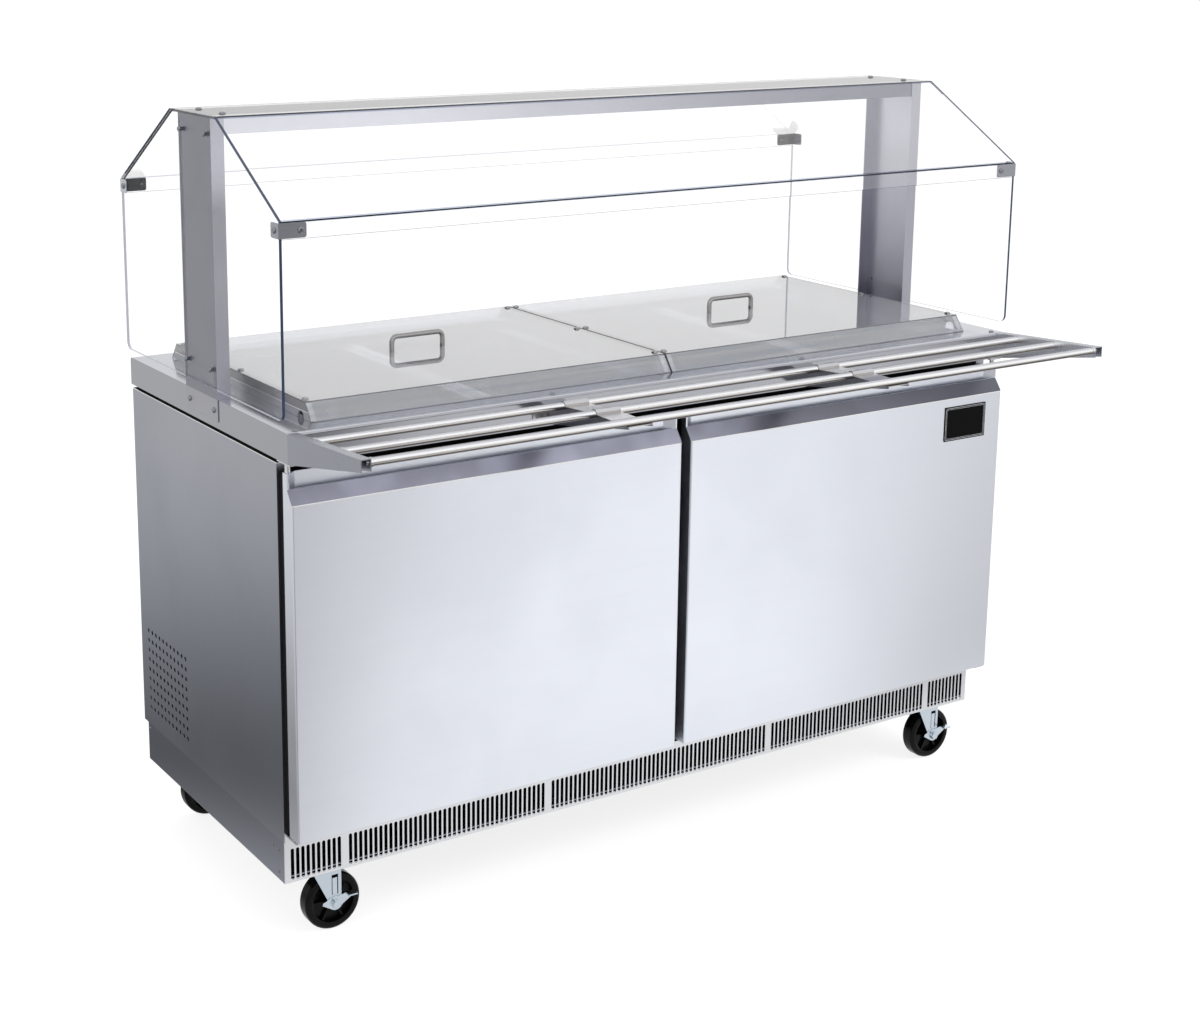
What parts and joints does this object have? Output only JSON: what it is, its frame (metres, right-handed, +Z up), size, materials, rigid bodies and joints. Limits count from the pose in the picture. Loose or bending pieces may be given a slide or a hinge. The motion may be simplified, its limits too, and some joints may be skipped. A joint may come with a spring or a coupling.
{
  "type": "mobile salad bar",
  "caption": "Refrigerated serving cart with two covered pan wells, a clear sneeze guard, hinged doors, a tray slide and swivel casters.",
  "frame": {"origin": "on the floor, under the middle of the whole cart's box, tray slide included", "axes": "+X along the width, to the right seen from the tray slide; +Y to the rear; +Z up"},
  "size_m": [1.5516, 0.8929, 1.36],
  "materials": {
    "worktop_steel": "polished stainless sheet",
    "board": "foamed board",
    "rubber": "soft matt rubber",
    "pan_steel": "bright stainless",
    "foam": "rigid foam",
    "liner_aluminium": "satin",
    "black_trim": "satin black",
    "panel_steel": "brushed stainless",
    "grille_steel": "brushed stainless",
    "galvanised": "galvanised sheet",
    "compressor_black": "gloss black",
    "coil_fins": "thin fins",
    "fan_plastic": "moulded plastic",
    "copper": "drawn copper",
    "bright_wire": "plated wire",
    "bracket_steel": "satin stainless",
    "screw_steel": "plated",
    "post_steel": "satin stainless",
    "clear_sheet": "clear, with dark edges",
    "tube_steel": "polished stainless tube",
    "zinc": "bright zinc",
    "door_steel": "brushed stainless",
    "white_plastic": "moulded liner",
    "lid_sheet": "clear acrylic",
    "lid_steel": "satin stainless",
    "tread_rubber": "glossy black"
  },
  "bodies": {
    "cart": {"deck_top": "worktop_steel", "deck_core": "board", "deck_seal": "rubber", "food_pans": "pan_steel", "adapter_bars": "pan_steel", "cabinet_body": "foam", "cabinet_liner": "liner_aluminium", "evaporator_cover": "liner_aluminium", "face_frame": "black_trim", "mullion": "black_trim", "cord_gland": "black_trim", "side_panel_left": "panel_steel", "side_panel_right": "panel_steel", "back_panel": "panel_steel", "rear_grille": "panel_steel", "base_frame": "panel_steel", "front_grille": "grille_steel", "machine_base": "galvanised", "compressor": "compressor_black", "condenser": "coil_fins", "evaporator": "coil_fins", "refrigerant_pipes": "copper", "wire_shelves": "bright_wire", "shelf_clips": "bright_wire", "hinge_brackets": "bracket_steel", "tray_end_brackets": "bracket_steel", "tray_mid_brackets": "bracket_steel", "corner_brackets": "bracket_steel", "case_screws": "screw_steel", "guard_screws": "screw_steel", "guard_posts": "post_steel", "top_beam": "post_steel", "guard_sheet": "clear_sheet", "end_glass_left": "clear_sheet", "end_glass_right": "clear_sheet", "tray_tubes": "tube_steel", "caster_plates": "zinc"},
    "condenser_rotor": {"condenser_fan": "fan_plastic"},
    "evaporator_rotor": {"evaporator_fan": "fan_plastic"},
    "left_door": {"door_left": "door_steel", "door_liner_left": "white_plastic", "door_gasket_left": "rubber"},
    "right_door": {"door_right": "door_steel", "door_liner_right": "white_plastic", "door_gasket_right": "rubber", "name_plate": "black_trim"},
    "left_lid": {"lid_left": "lid_sheet", "lid_frame_left": "lid_steel"},
    "right_lid": {"lid_right": "lid_sheet", "lid_frame_right": "lid_steel"},
    "caster_fl": {"caster_fork_fl": "zinc"},
    "wheel_fl": {"caster_wheel_fl": "tread_rubber"},
    "caster_fr": {"caster_fork_fr": "zinc"},
    "wheel_fr": {"caster_wheel_fr": "tread_rubber"},
    "caster_rl": {"caster_fork_rl": "zinc"},
    "wheel_rl": {"caster_wheel_rl": "tread_rubber"},
    "caster_rr": {"caster_fork_rr": "zinc"},
    "wheel_rr": {"caster_wheel_rr": "tread_rubber"},
    "pedal_fl": {"brake_pedal_fl": "zinc"},
    "pedal_fr": {"brake_pedal_fr": "zinc"}
  },
  "joints": [
    {"name": "left_door_hinge", "type": "hinge", "parent": "cart", "child": "left_door", "pos_m": [-0.757, -0.18675, 0.5], "axis": [0, 0, -1], "range_deg": [0, 100]},
    {"name": "right_door_hinge", "type": "hinge", "parent": "cart", "child": "right_door", "pos_m": [0.757, -0.18675, 0.5], "axis": [0, 0, 1], "range_deg": [0, 100]},
    {"name": "left_lid_lift", "type": "slide", "parent": "cart", "child": "left_lid", "axis": [0, 0, 1], "range_m": [0, 0.25]},
    {"name": "right_lid_lift", "type": "slide", "parent": "cart", "child": "right_lid", "axis": [0, 0, 1], "range_m": [0, 0.25]},
    {"name": "condenser_fan_spin", "type": "hinge", "parent": "cart", "child": "condenser_rotor", "pos_m": [-0.6938, 0.32575, 0.2835], "axis": [1, 0, 0], "continuous": true},
    {"name": "evaporator_fan_spin", "type": "hinge", "parent": "cart", "child": "evaporator_rotor", "pos_m": [0, 0.32095, 0.63025], "axis": [0, 1, 0], "continuous": true},
    {"name": "swivel_fl", "type": "hinge", "parent": "cart", "child": "caster_fl", "pos_m": [-0.68, -0.11925, 0.11], "axis": [0, 0, 1], "continuous": true},
    {"name": "roll_fl", "type": "hinge", "parent": "caster_fl", "child": "wheel_fl", "pos_m": [-0.662, -0.11925, 0.051], "axis": [0, 1, 0], "continuous": true},
    {"name": "brake_fl", "type": "hinge", "parent": "caster_fl", "child": "pedal_fl", "pos_m": [-0.662, -0.11925, 0.051], "axis": [0, 1, 0], "range_deg": [0, 12]},
    {"name": "swivel_fr", "type": "hinge", "parent": "cart", "child": "caster_fr", "pos_m": [0.68, -0.11925, 0.11], "axis": [0, 0, 1], "continuous": true},
    {"name": "roll_fr", "type": "hinge", "parent": "caster_fr", "child": "wheel_fr", "pos_m": [0.698, -0.11925, 0.051], "axis": [0, 1, 0], "continuous": true},
    {"name": "brake_fr", "type": "hinge", "parent": "caster_fr", "child": "pedal_fr", "pos_m": [0.698, -0.11925, 0.051], "axis": [0, 1, 0], "range_deg": [0, 12]},
    {"name": "swivel_rl", "type": "hinge", "parent": "cart", "child": "caster_rl", "pos_m": [-0.68, 0.39275, 0.11], "axis": [0, 0, 1], "continuous": true},
    {"name": "roll_rl", "type": "hinge", "parent": "caster_rl", "child": "wheel_rl", "pos_m": [-0.662, 0.39275, 0.051], "axis": [0, 1, 0], "continuous": true},
    {"name": "swivel_rr", "type": "hinge", "parent": "cart", "child": "caster_rr", "pos_m": [0.68, 0.39275, 0.11], "axis": [0, 0, 1], "continuous": true},
    {"name": "roll_rr", "type": "hinge", "parent": "caster_rr", "child": "wheel_rr", "pos_m": [0.698, 0.39275, 0.051], "axis": [0, 1, 0], "continuous": true}
  ]
}
